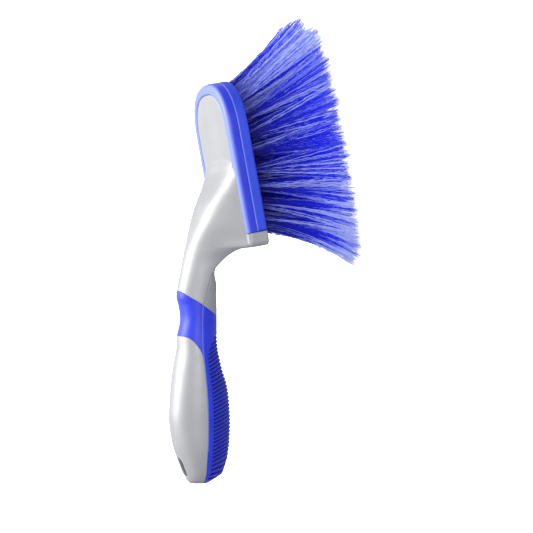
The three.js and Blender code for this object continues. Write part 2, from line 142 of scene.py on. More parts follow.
# What only the visual pieces have: the open parting line, edges rolled by ROLL and folded in by
# LIP, a painted highlight line at the parting with its width as a turn, and the line between bumper and
# block.
SEAM = 0.08
ROLL = 0.3
LIP = 2.2
SEAM_EDGE = 0.018
JOINT_GAP = 0.1
NECK_CORNER = 1.3
FOOT_RADIUS = 1.2
BUMPER_LIP = 0.8
BUMPER_FOOT = 0.3
BUMPER_END = 0.25
# Heights of the bumper painted paler: a painted highlight on the top that faces the light.
PAINTED_TOP_HIGHLIGHT = (-2.6, -0.5)
BLOCK_EDGE = 0.3
PLATE_LIP = 0.5
PLATE_SPINE = (-88, -42)
PLATE_REACH = 23.0
NECK_BLEND = 2.2
END_TOP = 20.4
QUARTER = math.pi / 2
TAIL_EDGE = -HEAD_LENGTH + TAB_LENGTH
random = np.random.default_rng(7)


# ---------- mesh tools ----------

class Skin:
    """Patches of one piece, gathered in head-frame millimetres."""

    def __init__(self):
        self.points, self.faces, self.uvs, self.weights, self.count = [], [], [], [], 0
        # Painted light per point: above 0 is painted shade in grooves and the hanging hole, below 0 is
        # painted highlight on lit edges and tops.
        self.hollow = []

    def add(self, points, faces, uv, hollow=0.0):
        points = np.asarray(points, float)
        self.hollow.append(np.broadcast_to(hollow, len(points)))
        self.points.append(points)
        self.faces.append([tuple(int(i) + self.count for i in face) for face in faces])
        self.uvs.append(uv)
        spans = [np.linalg.norm(points[face[0]] - points[face[len(face) // 2]]) for face in faces]
        self.weights.append(math.sqrt(sum(span * span for span in spans)) + 1)
        self.count += len(points)

    def grid(self, points, inside, wrap=False, hollow=0.0):
        """Rows by columns of points; faces look away from the inside point or points."""
        inside = np.broadcast_to(inside, points.shape)
        hollow = np.broadcast_to(hollow, points.shape[:2])
        if wrap:
            points, inside, hollow = (
                np.concatenate([part, part[:, :1]], 1) for part in (points, inside, hollow)
            )
        rows, columns = points.shape[:2]
        flat = points.reshape(-1, 3)
        index = np.arange(rows * columns).reshape(rows, columns)
        u = np.broadcast_to(np.linspace(0, 1, columns), (rows, columns))
        v = np.broadcast_to(np.linspace(0, 1, rows)[:, None], (rows, columns))
        uv = np.stack([u, v], -1).reshape(-1, 2)
        quads = np.stack(
            [index[:-1, :-1], index[1:, :-1], index[1:, 1:], index[:-1, 1:]], -1
        ).reshape(-1, 4)
        core = inside.reshape(-1, 3)
        corner = flat[quads]
        normal = np.cross(corner[:, 2] - corner[:, 0], corner[:, 3] - corner[:, 1])
        away = corner.mean(1) - core[quads].mean(1)
        if (normal * away).sum() < 0:
            quads = quads[:, ::-1]
        self.add(flat, quads, uv, hollow.ravel())

    def fan(self, ring, outward):
        """A flat face over a ring of points."""
        ring = np.asarray(ring, float)
        centre = ring.mean(0)
        following = np.roll(ring, -1, 0)
        normal = np.cross(ring - centre, following - centre).sum(0)
        order = list(range(len(ring)))
        if np.dot(normal, outward) < 0:
            order.reverse()
        spread = ring - ring.min(0)
        keep = np.argsort(-np.ptp(ring, 0))[:2]
        uv = spread[:, keep] / np.maximum(np.ptp(ring, 0)[keep].max(), 1e-6)
        self.add(ring, [order], uv)

    def build(self, name, look, slot, nodes, sharp=38):
        points = np.concatenate(self.points) * MM + HEAD_ORIGIN
        faces = [face for part in self.faces for face in part]
        mesh = bpy.data.meshes.new(name)
        mesh.from_pydata(points.tolist(), [], faces)
        share = np.cumsum([0] + self.weights) / sum(self.weights)
        placed = [
            uv * (0.98, (share[i + 1] - share[i]) * 0.96) + (0.01, share[i] + 0.002)
            for i, uv in enumerate(self.uvs)
        ]
        set_uv(mesh, np.concatenate(placed))
        mark_points(mesh, "hollow", np.concatenate(self.hollow))
        work = bmesh.new()
        work.from_mesh(mesh)
        bmesh.ops.remove_doubles(work, verts=work.verts, dist=2e-6)
        bmesh.ops.dissolve_degenerate(work, edges=work.edges, dist=1e-7)
        work.to_mesh(mesh)
        work.free()
        mesh.validate()
        mesh.shade_smooth()
        mesh.set_sharp_from_angle(angle=math.radians(sharp))
        return placed_piece(name, mesh, look, nodes)


def set_uv(mesh, uv):
    corners = np.empty(len(mesh.loops), int)
    mesh.loops.foreach_get("vertex_index", corners)
    layer = mesh.uv_layers.new(name="OFBake")
    layer.data.foreach_set("uv", uv[corners].ravel())


def mark_points(mesh, label, values):
    attribute = mesh.attributes.new(label, "FLOAT", "POINT")
    attribute.data.foreach_set("value", values.astype(np.float32))


def placed_piece(name, mesh, look, nodes):
    mesh.materials.append(look)
    piece = bpy.data.objects.new(name, mesh)
    bpy.context.scene.collection.objects.link(piece)
    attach(piece, "root")
    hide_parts(*nodes)
    return piece


def at_height(outline, z):
    return np.concatenate([outline, np.full((len(outline), 1), z)], 1)


def unit(vectors):
    return vectors / np.maximum(np.linalg.norm(vectors, axis=-1, keepdims=True), 1e-6)


def smooth(value, low, high):
    t = np.clip((value - low) / (high - low), 0, 1)
    return t * t * (3 - 2 * t)


def roll(distance, radius):
    """Drop of a quarter-round edge at a distance from its border."""
    reach = np.clip(radius - distance, 0, radius)
    return radius - np.sqrt(np.maximum(radius ** 2 - reach ** 2, 0))


def hermite(places, values, at):
    at = np.clip(at, places[0], places[-1])
    last = len(places) - 1
    i = np.clip(np.searchsorted(places, at, side="left") - 1, 0, last - 1)
    before = np.maximum(np.arange(last + 1) - 1, 0)
    after = np.minimum(np.arange(last + 1) + 1, last)
    slope = (values[after] - values[before]) / (places[after] - places[before])
    width = places[i + 1] - places[i]
    t = (at - places[i]) / width
    rise = t * t * (3 - 2 * t)
    enter = t * (1 - t) ** 2 * width * slope[i]
    leave = t * t * (t - 1) * width * slope[i + 1]
    return values[i] + (values[i + 1] - values[i]) * rise + enter + leave


# ---------- handle surface ----------

def profile(column, s):
    return hermite(STATIONS[:, 0], STATIONS[:, column], np.asarray(s, float))


def from_handle(s, f, y):
    x = HANDLE_END_X + s * math.cos(TILT) - f * math.sin(TILT)
    z = HANDLE_END_Z - s * math.sin(TILT) - f * math.cos(TILT)
    return np.stack(np.broadcast_arrays(x, y, z), -1)


def section(s, turn, front, inset=0.0):
    """f and y of the back or front half. Turn is 0 in the middle and a quarter at the parting."""
    side = profile(SIDE, s)
    cos = np.clip(np.cos(turn), 0, 1)
    sin = np.abs(np.sin(turn))
    half = profile(HALF, s) - inset
    if front:
        reach = np.maximum(profile(FRONT, s) - inset, side + 0.2) - side
        return side + reach * cos ** FRONT_POWER, np.sign(turn) * half * sin ** FRONT_POWER
    reach = side - profile(BACK, s) - inset
    back_half = profile(BACK_HALF, s) - inset
    power = 2 / (BACK_ROUNDNESS + (NECK_ROUNDNESS - BACK_ROUNDNESS) * smooth(s, *NECK_SQUARES))
    y = back_half * sin ** power + (half - back_half) * (1 - cos) ** 3
    return side - reach * cos ** power, np.sign(turn) * y


def turns(step):
    """Columns from parting to parting, close together at both edges."""
    edge = np.array([0, 0.003, 0.008, 0.016, 0.027, 0.042])
    count = int(round((math.pi - 0.12) / step))
    middle = np.linspace(-math.pi / 2 + 0.06, math.pi / 2 - 0.06, count)
    return np.concatenate([edge - math.pi / 2, middle, math.pi / 2 - edge[::-1]])


def edge_line(curve, turn, front, shift=0.0):
    """Where each column meets an edge that is drawn in the side view."""
    points = sorted((f, s) for s, f in curve)
    f_values = np.array([f for f, s in points])
    s_values = np.array([s for f, s in points])
    at = np.full(len(turn), float(s_values.mean()))
    for _ in range(40):
        f = section(at, turn, front)[0]
        at = 0.5 * at + 0.5 * hermite(f_values, s_values, f)
    return at + shift


def edge_distance(s, line, turn, front):
    """Distance from an edge, allowing for its slant."""
    f, y = section(line, np.atleast_2d(turn)[0], front)
    run = np.hypot(np.gradient(f), np.gradient(y))
    slant = np.gradient(line) / np.maximum(run, 1e-6)
    return np.abs(s - line) / np.sqrt(1 + slant ** 2)


def ribs(s, turn):
    facing = np.cos(turn)
    base = np.where(
        s > ARCH_FADE + RIB_ARCH * facing, s - RIB_ARCH * facing, s / (1 + RIB_ARCH * facing / ARCH_FADE)
    )
    phase = (base - FIRST_RIB) / RIB_PITCH
    wave = smooth(0.5 + 0.5 * np.cos(2 * math.pi * phase), 0.3, 0.8)
    top = (RIB_COUNT - 0.5) * RIB_PITCH + FIRST_RIB
    narrow = 0.55 * np.clip((base - top + 13) / 13, 0, 1) ** 2
    field = smooth(facing, RIB_BORDER + narrow, RIB_BORDER + narrow + 0.07)
    field = field * smooth(phase, -0.6, -0.4) * (1 - smooth(phase, RIB_COUNT - 0.6, RIB_COUNT - 0.4))
    return RIB_DEPTH * wave * field


def hand_surface(s, turn, front, low=None, high=None, extra=0.0, corner=False):
    """Points of the outer surface with its rolled edges, and ribs on the front grip."""
    side = profile(SIDE, s)
    f, y = section(s, turn, front)
    off = np.hypot(f - side, np.abs(y) - profile(HALF, s))
    open_seam = 1 - smooth(s, FRONT_SHELL_TOP - 0.5, FRONT_SHELL_TOP + 0.5) if corner else 1.0
    drop = roll(off, ROLL) * open_seam
    for line in (low, high):
        if line is not None:
            drop = np.maximum(drop, roll(edge_distance(s, line, turn, front), ROLL))
    f, y = section(s, turn, front, np.maximum(drop, 0) + extra)
    part = SEAM / 2 * np.clip(1 - off / 2, 0, 1) * open_seam
    f = f + part if front else f - part
    if corner:
        radius = NECK_CORNER * smooth(s, FRONT_SHELL_TOP + 1, FRONT_SHELL_TOP + 6)
        near = np.clip(off / np.maximum(radius, 1e-6), 0, 1)
        held = off < radius
        bend = math.pi / 4 * (1 + near if front else 1 - near)
        f = np.where(held, (f if front else side) - radius * (1 - np.sin(bend)), f)
        half = (profile(HALF, s) if front else np.abs(y)) - radius * (1 - np.cos(bend))
        y = np.where(held, np.sign(y) * half, y)
    return f, y


def axis_points(s):
    middle = (profile(BACK, s) + profile(FRONT, s)) / 2
    return from_handle(s, middle, np.zeros_like(s))


def hand_patch(skin, turn, front, low, high, step, lips, ribbed=False, corner=False):
    """One patch of the handle between two edges. Lips names the edges that fold inwards."""
    edge = ROLL * np.array([0, 0.12, 0.35, 0.65, 1.0])
    length = (high - low - 2 * edge[-1]).max()
    inner = np.linspace(0, 1, max(int(length / step), 3))[1:-1, None]
    rows = [low + e for e in edge]
    rows += list(low + edge[-1] + (high - low - 2 * edge[-1]) * inner)
    rows += [high - e for e in edge[::-1]]
    extra = [0.0] * len(rows)
    depths = (LIP, LIP / 2)
    if "low" in lips:
        rows = [low, low] + rows
        extra = list(depths) + extra
    if "high" in lips:
        rows = rows + [high, high]
        extra = extra + list(depths[::-1])
    s = np.array(rows)
    extra = np.repeat(np.array(extra)[:, None], len(turn), 1)
    columns = np.broadcast_to(turn, s.shape)
    if "side" in lips:
        s, columns, extra, (low, high) = (
            np.pad(part, ((0, 0), (2, 2)), mode="edge") for part in (s, columns, extra, (low, high))
        )
        for place, depth in ((0, LIP), (1, LIP / 2), (-1, LIP), (-2, LIP / 2)):
            extra[:, place] = np.maximum(extra[:, place], depth)
    edges = [line if name in lips else None for name, line in (("low", low), ("high", high))]
    groove = ribs(s, columns) * (extra == 0) if ribbed else np.zeros(s.shape)
    f, y = hand_surface(s, columns, front, *edges, extra + groove, corner)
    # Painted shade in the rib grooves, darker the deeper they are, and a painted highlight as a thin
    # pale line along the rubber's parting edges.
    painted_edge_highlight = np.where((np.abs(columns) > math.pi / 2 - SEAM_EDGE) & (extra == 0), -1.0, 0.0)
    hollow = groove / RIB_DEPTH + (painted_edge_highlight if "side" in lips else 0.0)
    skin.grid(from_handle(s, f, y), axis_points(s), hollow=hollow)


def obround(direction_s, direction_y):
    """Distance from the hanging hole's centre to its edge in the given directions."""
    straight = HANG_RADIUS / np.maximum(np.abs(direction_y), 1e-9)
    inside = np.maximum(HANG_RADIUS ** 2 - (HANG_REACH * direction_y) ** 2, 0)
    round_end = HANG_REACH * np.abs(direction_s) + np.sqrt(inside)
    return np.where(straight * np.abs(direction_s) <= HANG_REACH, straight, round_end)


def hole_distance(s, y):
    along = np.maximum(np.abs(s - HANG_S) - HANG_REACH, 0)
    return np.hypot(along, y) - HANG_RADIUS


def end_patch(skin, turn, front, top, ribbed, hole_roll, tube_to):
    """The handle's end round its hanging hole, with the flat end face."""
    power = FRONT_POWER if front else 2 / BACK_ROUNDNESS
    sides = np.linspace(top[0], 0, 60)[1:-1]
    loop_s = np.concatenate([top, sides, np.zeros(len(turn)), sides[::-1]])
    edge = np.full(len(sides), math.pi / 2)
    loop_turn = np.concatenate([turn, edge, turn[::-1], -edge])
    wide = profile(HALF, np.full(len(loop_s), HANG_S)) * np.sign(loop_turn)
    wide = wide * np.abs(np.sin(loop_turn)) ** power
    span = np.hypot(loop_s - HANG_S, wide)
    toward_s = (loop_s - HANG_S) / span
    toward_y = wide / span
    reach = obround(toward_s, toward_y)
    hole_s = HANG_S + reach * toward_s
    hole_y = reach * toward_y
    hole_turn = np.sign(hole_y) * np.arcsin(
        np.clip(np.abs(hole_y) / profile(HALF, hole_s), 0, 1) ** (1 / power)
    )
    fine = np.array([0, 0.006, 0.015, 0.03, 0.05, 0.075, 0.1])
    close = 1 - np.array([0.03, 0.02, 0.012, 0.006, 0.002, 0])
    t = np.concatenate([fine, np.linspace(0.12, 0.96, 40), close])[:, None]
    s = hole_s + (loop_s - hole_s) * t
    around = hole_turn + (loop_turn - hole_turn) * t
    y = section(s, around, front)[1]
    gone = hole_distance(s, y)
    groove = ribs(s, around) * smooth(gone, 0.9, 1.5) if ribbed else np.zeros(s.shape)
    f, y = hand_surface(s, around, front, extra=groove)
    f = f - roll(gone, hole_roll) if front else f + roll(gone, hole_roll)
    # Painted shade in the rib grooves near the end.
    skin.grid(from_handle(s, f, y), axis_points(s), wrap=True, hollow=groove / RIB_DEPTH)
    edge_f, edge_y = f[0], y[0]
    depth = np.linspace(0, 1, 8)[:, None]
    wall = edge_f + (tube_to(hole_s) - edge_f) * depth
    beyond = from_handle(HANG_S + (hole_s - HANG_S) * 2, edge_f, edge_y * 2)
    # Painted shade down the hanging hole's wall.
    dark = np.clip(depth * 6, 0, 1)
    skin.grid(from_handle(hole_s, wall, edge_y), beyond, wrap=True, hollow=dark)
    lip_s = np.linspace(0, top[0], 40)
    depths = np.array([0, LIP / 2, LIP])[:, None]
    for sign in (-1, 1):
        quarter = np.full_like(lip_s, sign * math.pi / 2)
        f, y = hand_surface(lip_s, quarter, front, extra=depths)
        points = from_handle(lip_s, f, y)
        skin.grid(points, points + (0, 0, 5 if front else -5))
    f, y = hand_surface(np.zeros(len(turn)), turn, front)
    shrink = np.linspace(1, 0, 12)[:, None]
    base = float(profile(SIDE, 0)) + (SEAM / 2 if front else -SEAM / 2)
    cap = from_handle(0.0, base + (f - base) * shrink, y * shrink)
    skin.grid(cap, cap + (5, 0, 0))
    fold_s = np.array([0, 0.8, 1.6])[:, None]
    fold = from_handle(fold_s, base, np.linspace(y[0], y[-1], 24))
    skin.grid(fold, fold + (0, 0, 5 if front else -5))


def core_patch(skin, front, low, high):
    """The plain shell under the rubber."""
    s, turn = np.meshgrid(
        low + (high - low) * np.linspace(0, 1, 60), np.linspace(-QUARTER, QUARTER, 49), indexing="ij"
    )
    f, y = section(s, turn, front, RUBBER + GAP)
    skin.grid(from_handle(s, f, y), axis_points(s))


# ---------- head ----------

def nose_curve(inset, steps):
    """The blunt nose from side to side, evenly stepped."""
    swing = np.linspace(-math.pi / 2, math.pi / 2, 1441)
    reach = (NOSE_LENGTH - inset) * np.cos(swing).clip(0) ** NOSE_POWER
    across = (HEAD_HALF_WIDTH - inset) * np.sign(swing) * np.abs(np.sin(swing)) ** NOSE_POWER
    x = reach - NOSE_LENGTH
    run = np.concatenate([[0], np.cumsum(np.hypot(np.diff(x), np.diff(across)))])
    even = np.linspace(0, run[-1], steps + 1)
    return np.interp(even, run, x), np.interp(even, run, across)


def tail_path(inset, tail, straight=60, nose=96):
    """Open outline of the head from one side of its tail round the nose to the other."""
    half = HEAD_HALF_WIDTH - inset
    x = np.linspace(tail, -NOSE_LENGTH, straight, endpoint=False)
    nose_x, nose_y = nose_curve(inset, nose)
    xs = np.concatenate([x, nose_x, x[::-1]])
    ys = np.concatenate([np.full(straight, -half), nose_y, np.full(straight, half)])
    return np.stack([xs, ys], 1)


def tail_corners(tail, half, corner):
    """Across the tail from +Y to -Y with round corners."""
    steps = np.linspace(0, QUARTER, 9)[1:]
    first = np.stack([tail + corner - corner * np.sin(steps), half - corner + corner * np.cos(steps)], 1)
    across = np.linspace(half - corner, corner - half, 40)[1:-1]
    middle = np.stack([np.full(len(across), tail), across], 1)
    return np.concatenate([first, middle, first[::-1] * (1, -1)])


def closed_path(inset, tail, corner):
    """The head's outline closed across its tail."""
    path = tail_path(inset, tail + corner)
    return np.concatenate([path, tail_corners(tail, HEAD_HALF_WIDTH - inset, corner)[:-1]])


def arc(inset, z, radius, start, stop, steps):
    """Section points round a centre, as (inset, z); 0 points outwards and a quarter turn up."""
    angle = np.linspace(start, stop, steps)
    return [(inset - radius * math.cos(a), z + radius * math.sin(a)) for a in angle]


def bumper_skin():
    skin = Skin()
    tail = TAIL_EDGE + GAP
    lip, foot = BUMPER_LIP, BUMPER_FOOT
    base = -RIM_HEIGHT - GAP / 2 + JOINT_GAP / 2
    ring = [(RIM_WIDTH, -RIM_WALL), (RIM_WIDTH, -1.8)]
    ring += [(2 * (RIM_WIDTH - lip) - i, z) for i, z in arc(RIM_WIDTH - lip, -lip, lip, 0, QUARTER, 7)]
    ring += [(i, 0.0) for i in np.linspace(RIM_WIDTH - lip, EDGE_RADIUS, 6)[1:-1]]
    ring += arc(EDGE_RADIUS, -EDGE_RADIUS, EDGE_RADIUS, QUARTER, 0, 15)
    ring += [(0.0, z) for z in np.linspace(-EDGE_RADIUS, base + foot, 8)[1:-1]]
    ring += arc(foot, base + foot, foot, 0, -QUARTER, 5)
    ring += [(RIM_WALL, base), (RIM_WALL, -RIM_WALL - 0.3)]
    inset, height = np.array(ring).T
    middle_inset, middle_z = inset.mean(), height.mean()
    rows = np.stack([at_height(tail_path(i, tail), z) for i, z in ring])
    ends = rows.copy()
    for column, place in ((0, -1), (-1, 1)):
        ends[:, column, 2] = height + np.sign(middle_z - height) * BUMPER_END
        shift = np.sign(middle_inset - inset) * BUMPER_END
        ends[:, column, 1] = place * (HEAD_HALF_WIDTH - inset - shift)
    rows = np.concatenate([ends[:, :1], rows, ends[:, -1:]], 1)
    rows[:, 1, 0] += BUMPER_END
    rows[:, -2, 0] += BUMPER_END
    core = at_height(tail_path(middle_inset, tail), -2.2)
    core = np.concatenate([core[:1], core, core[-1:]])
    loop = rows.transpose(1, 0, 2)
    # Painted highlight: the bumper's top and rounded edge are painted paler where they face the light.
    pale = -smooth(loop[..., 2], *PAINTED_TOP_HIGHLIGHT)
    skin.grid(loop, core[:, None], wrap=True, hollow=pale)
    skin.fan(loop[0], (-1, 0, 0))
    skin.fan(loop[-1], (-1, 0, 0))
    return skin


def tab_path(inset_y, inset_x):
    back = -HEAD_LENGTH + inset_x
    half = HEAD_HALF_WIDTH - inset_y
    corner = max(TAB_CORNER - (inset_x + inset_y) / 2, 0.15)
    side = np.stack([np.linspace(TAIL_EDGE, back + corner, 8), np.full(8, half)], 1)
    return np.concatenate([side, tail_corners(back, half, corner), side[::-1] * (1, -1)])


def tab_skin(skin):
    foot = FOOT_RADIUS
    levels = [(i, 2.0 * i, z) for i, z in arc(foot, foot - HEAD_THICKNESS, foot, -QUARTER, 0, 9)]
    levels += [(0.0, 0.0, z) for z in np.linspace(foot - HEAD_THICKNESS, -EDGE_RADIUS, 12)[1:-1]]
    levels += [(i, i, z) for i, z in arc(EDGE_RADIUS, -EDGE_RADIUS, EDGE_RADIUS, 0, QUARTER, 13)]
    loops = np.stack([at_height(tab_path(inset_y, inset_x), z) for inset_y, inset_x, z in levels])
    skin.grid(loops, (TAIL_EDGE, 0, -HEAD_THICKNESS / 2))
    skin.fan(loops[0], (0, 0, -1))
    skin.fan(loops[-1], (0, 0, 1))
    skin.fan(np.concatenate([loops[:, 0], loops[::-1, -1]]), (1, 0, 0))


def neck_height():
    """Height of the neck's back over the head, as a lookup on x and y."""
    step, outside = 0.5, -8.0
    s, turn = np.meshgrid(
        np.linspace(148, STATIONS[-1, 0], 240), np.linspace(-QUARTER, QUARTER, 241), indexing="ij"
    )
    f, y = section(s, turn, False)
    points = from_handle(s, f, y)
    across = np.arange(-33, 33.01, step)
    along = np.arange(-112, -38, step)
    height = np.full((len(along), len(across)), outside)
    for j, place in enumerate(across):
        x = np.array([np.interp(place, row[:, 1], row[:, 0]) for row in points])
        z = np.array([
            np.interp(place, row[:, 1], row[:, 2], left=outside, right=outside) for row in points
        ])
        height[:, j] = np.interp(along, x, z, right=outside)

    def look_up(x, y):
        u = np.clip((x - along[0]) / step, 0, len(along) - 1.001)
        v = np.clip((y - across[0]) / step, 0, len(across) - 1.001)
        i, j = u.astype(int), v.astype(int)
        p, q = u - i, v - j
        return (height[i, j] * (1 - p) * (1 - q) + height[i + 1, j] * p * (1 - q)
                + height[i, j + 1] * (1 - p) * q + height[i + 1, j + 1] * p * q)

    return look_up


def plate_skin(skin):
    """The silver oval inside the bumper, which runs smoothly into the neck."""
    border = closed_path(RIM_WIDTH + GAP, TAIL_EDGE, 2.0)
    spine = np.stack([np.clip(border[:, 0], *PLATE_SPINE), np.zeros(len(border))], 1)
    edge = PLATE_LIP * np.array([0, 0.08, 0.25, 0.5, 1]) / PLATE_REACH
    inward = np.concatenate([[0, 0], edge, np.linspace(0.05, 1, 70)])[:, None]
    rings = border + (spine - border) * inward[..., None]
    z = -PLATE_RECESS - roll(inward * PLATE_REACH, PLATE_LIP) + np.zeros(rings.shape[:2])
    neck = neck_height()(rings[..., 0], rings[..., 1])
    meeting = np.clip(NECK_BLEND - np.abs(neck - z), 0, NECK_BLEND) / NECK_BLEND
    buried = neck - 0.25 * np.clip(neck - z - NECK_BLEND, 0, 8)
    z = np.where(neck - z > 0, buried, z) + meeting * meeting * NECK_BLEND / 4
    z[:2] = -PLATE_RECESS - np.array([[2.4], [1.4]])
    skin.grid(np.concatenate([rings, z[..., None]], 2), (-65.0, 0, -30.0), wrap=True)


def tuft_roots():
    """Root of every tuft by node name, equally spaced round both rows and along the middle."""
    found = {}
    for row, inset, count, tail in zip(("outer", "inner"), TUFT_INSETS, TUFT_COUNTS, TAIL_TUFT_X):
        half = HEAD_HALF_WIDTH - inset
        nose = np.stack(nose_curve(inset, 720), 1)
        path = np.concatenate([[(tail, -half)], nose, [(tail, half)]])
        run = np.concatenate([[0], np.cumsum(np.linalg.norm(np.diff(path, axis=0), axis=1))])
        for i, at in enumerate(np.linspace(0, run[-1], count)):
            root = np.interp(at, run, path[:, 0]), np.interp(at, run, path[:, 1])
            found[f"{row}_tuft_{i + 1:02d}"] = root
    for i, x in enumerate(np.linspace(TAIL_TUFT_X[0], CENTRE_NOSE_X, CENTRE_TUFTS)):
        found[f"centre_tuft_{i + 1:02d}"] = (x, 0.0)
    return found


def drilled_face(skin, rim, roots, mouth, circle):
    """The block's lower face, flat between its rim and the mouths of the holes."""
    points = [Vector(p) for p in rim]
    outlines = [list(range(len(rim)))]
    for root in roots:
        outlines.append(list(range(len(points), len(points) + len(circle))))
        points += [Vector(root + mouth * p) for p in circle]
    edges = [(line[i], line[(i + 1) % len(line)]) for line in outlines for i in range(len(line))]
    found, _, faces, *_ = delaunay_2d_cdt(points, edges, [], 1, 1e-5)
    flat = np.array([tuple(p) for p in found])
    kept = []
    for face in faces:
        middle = flat[list(face)].mean(0)
        if np.hypot(*(roots - middle).T).min() > mouth * 0.98:
            kept.append(list(face))
    deep = at_height(flat, -HEAD_THICKNESS)
    first = deep[kept[0][:3]]
    if np.cross(first[1] - first[0], first[2] - first[0])[2] > 0:
        kept = [face[::-1] for face in kept]
    skin.add(deep, kept, (flat - flat.min(0)) / np.ptp(flat, 0).max())


def block_skin(roots):
    skin = Skin()
    tail = TAIL_EDGE + GAP
    foot, head = FOOT_RADIUS, BLOCK_EDGE
    top = -RIM_HEIGHT - GAP / 2 - JOINT_GAP / 2
    levels = [(6.0, top)] + arc(head, top - head, head, QUARTER, 0, 5)
    levels += [(0.0, z) for z in np.linspace(top - head, foot - HEAD_THICKNESS, 10)[1:-1]]
    levels += arc(foot, foot - HEAD_THICKNESS, foot, 0, -QUARTER, 9)
    loops = np.stack([
        at_height(closed_path(i, tail + i, max(1.6 - i, 0.2)), z) for i, z in levels
    ])
    # Painted highlight on the block's top edge, where a rounded edge would catch the light.
    painted_edge_highlight = [[-1.0 if z > top - head - 0.05 and i < head else 0.0] for i, z in levels]
    skin.grid(loops, (-50.0, 0, -10.0), wrap=True, hollow=painted_edge_highlight)
    skin.fan(loops[0], (0, 0, 1))
    steps = np.linspace(0, 2 * math.pi, 29)[:-1]
    circle = np.stack([np.cos(steps), np.sin(steps)], 1)
    bore = HOLE_DIAMETER / 2
    mouth = bore + 0.3
    roots = np.array(list(roots.values()))
    drilled_face(skin, loops[-1][:, :2], roots, mouth, circle)
    rungs = [(mouth, 0), (bore + 0.09, 0.09), (bore, 0.3), (bore, HOLE_DEPTH), (0.02, HOLE_DEPTH + 0.6)]
    for root in roots:
        rings = np.stack([
            at_height(root + radius * circle, rise - HEAD_THICKNESS) for radius, rise in rungs
        ])
        skin.grid(rings, at_height(root + 20 * circle, -8.0), wrap=True)
    return skin


# ---------- bristles ----------

FILAMENTS = 180
CLUMPS = 84
SPLITS = 3
SEGMENTS = 22
FLAG_SEGMENTS = 3
GOLDEN_TURN = math.pi * (3 - math.sqrt(5))
CLEARANCE = 0.12

# Shares of a strand's length, and its radius at each of them
TAPER = ((0, 0.75, 0.93, 1), (0.18, 0.18, 0.15, 0.09))
FLAG_TAPER = ((0, 1), (0.085, 0.035))

# How the tips stray: spread of a tuft, pull towards a clump's middle, clumps and strays shifted
TIP_SPREAD = TIP_RADIUS * np.array((1.75, 1.25))
TIP_REACH = 48.5
CLUMP_PULL = (0.5, 0.9)
CLUMP_SHIFT = 1.1
STRAYS = 0.05
STRAY_SHIFT = 4.5
STRAY_LIMIT = 8
WISPS = 0.06

# Where the photographed fan isn't even. Near is -Y, the photographed side, and far is +Y.
TAIL_SET = 15.0
TAIL_REACH = 4.5
NOSE_SET = 6.0
NOSE_CLOSE = 0.2
NOSE_NARROW = 0.42
NOSE_REACH = 6.0
NOSE_DROP = 7.0
NEAR_THIN = 0.1
FAR_THIN = 0.3
FAR_SHORT = 0.1
CROWN_SET = 10.0
CROWN_Y = 5.0
CROWN_WIDTH = 14
SHOULDER_X = -21.0
SHOULDER_WIDTH = 13
SHOULDER_LEAN = 3.0
SHOULDER_REACH = 8.0

# How soon a strand leaves the middle of its tuft, as (share, power)
OUTER_OPENING = (0.25, 1.6)
INNER_OPENING = (0.7, 0.45)

# Steps from dark to pale, painted light for brightly lit bristles: the nose is paler, and the tail pales
# towards its tips
NOSE_PALE = 0.36
FAR_PALE = 0.2
TAIL_PAINTED_PALE = 0.45


def strands(path, radius, along, tone):
    """Three-sided hairs along paths of shape (hairs, points, 3)."""
    hairs, count = path.shape[:2]
    tangent = unit(np.gradient(path, axis=1))
    side = unit(np.cross(tangent, np.array((0.31, 0.95, 0.05))))
    other = np.cross(tangent, side)
    turn = np.arange(3) * 2 * math.pi / 3
    ring = (side[:, :, None] * np.cos(turn)[:, None] + other[:, :, None] * np.sin(turn)[:, None])
    points = path[:, :, None] + ring * radius[..., None, None]
    index = np.arange(hairs * count * 3).reshape(hairs, count, 3)
    a, b = index[:, :-1], index[:, 1:]
    quads = np.stack([a, np.roll(a, -1, 2), np.roll(b, -1, 2), b], -1).reshape(-1, 4)
    tips = index[:, -1]
    marks = np.repeat(along[..., None], 3, 2).ravel()
    tones = np.broadcast_to(tone[..., None], (hairs, count, 3)).ravel()
    return points.reshape(-1, 3), quads, tips, marks, tones


def crimp(path, amount, wave, phase, plane):
    """Waves every hair sideways in its own plane."""
    side = unit(np.cross(unit(np.gradient(path, axis=1)), plane[:, None]))
    run = np.concatenate([
        np.zeros((len(path), 1)), np.cumsum(np.linalg.norm(np.diff(path, axis=1), axis=2), 1)
    ], 1)
    swing = amount[:, None] * np.sin(2 * math.pi * run / wave[:, None] + phase[:, None])
    return path + side * (swing * smooth(run, 4, 14))[..., None]


def flare(x):
    return np.clip((x - FLARE_START) / FLARE_SPAN, 0, None) ** 2


def tip_of(cell):
    """Where a place on the head ends up on the fanned face."""
    x = cell[..., 0] * FAN_X + FAN_SHIFT + NOSE_FLARE * flare(cell[..., 0])
    return np.stack([x, cell[..., 1] * FAN_Y], -1)


class Place:
    """Where a tuft's root is on the head, as shares from 0 to 1."""

    def __init__(self, root):
        x, y = root
        self.far = smooth(y, -8, 24)
        self.across = smooth(y, -30, 30)
        self.tail = smooth(-x, 55, 90)
        self.nose = smooth(x, -45, -8)
        self.flare = flare(x)
        self.crown = math.exp(-((y - CROWN_Y) / CROWN_WIDTH) ** 2)
        self.shoulder = math.exp(-((x - SHOULDER_X) / SHOULDER_WIDTH) ** 2)


def spiral_disc():
    """Filaments spread over a unit disc."""
    spiral = np.arange(FILAMENTS) + 0.5
    radius = np.sqrt(spiral / FILAMENTS)
    swirl = spiral * GOLDEN_TURN + random.uniform(0, 6.28)
    disc = np.stack([radius * np.cos(swirl), radius * np.sin(swirl)], 1)
    return disc + random.normal(0, 0.05, (FILAMENTS, 2))


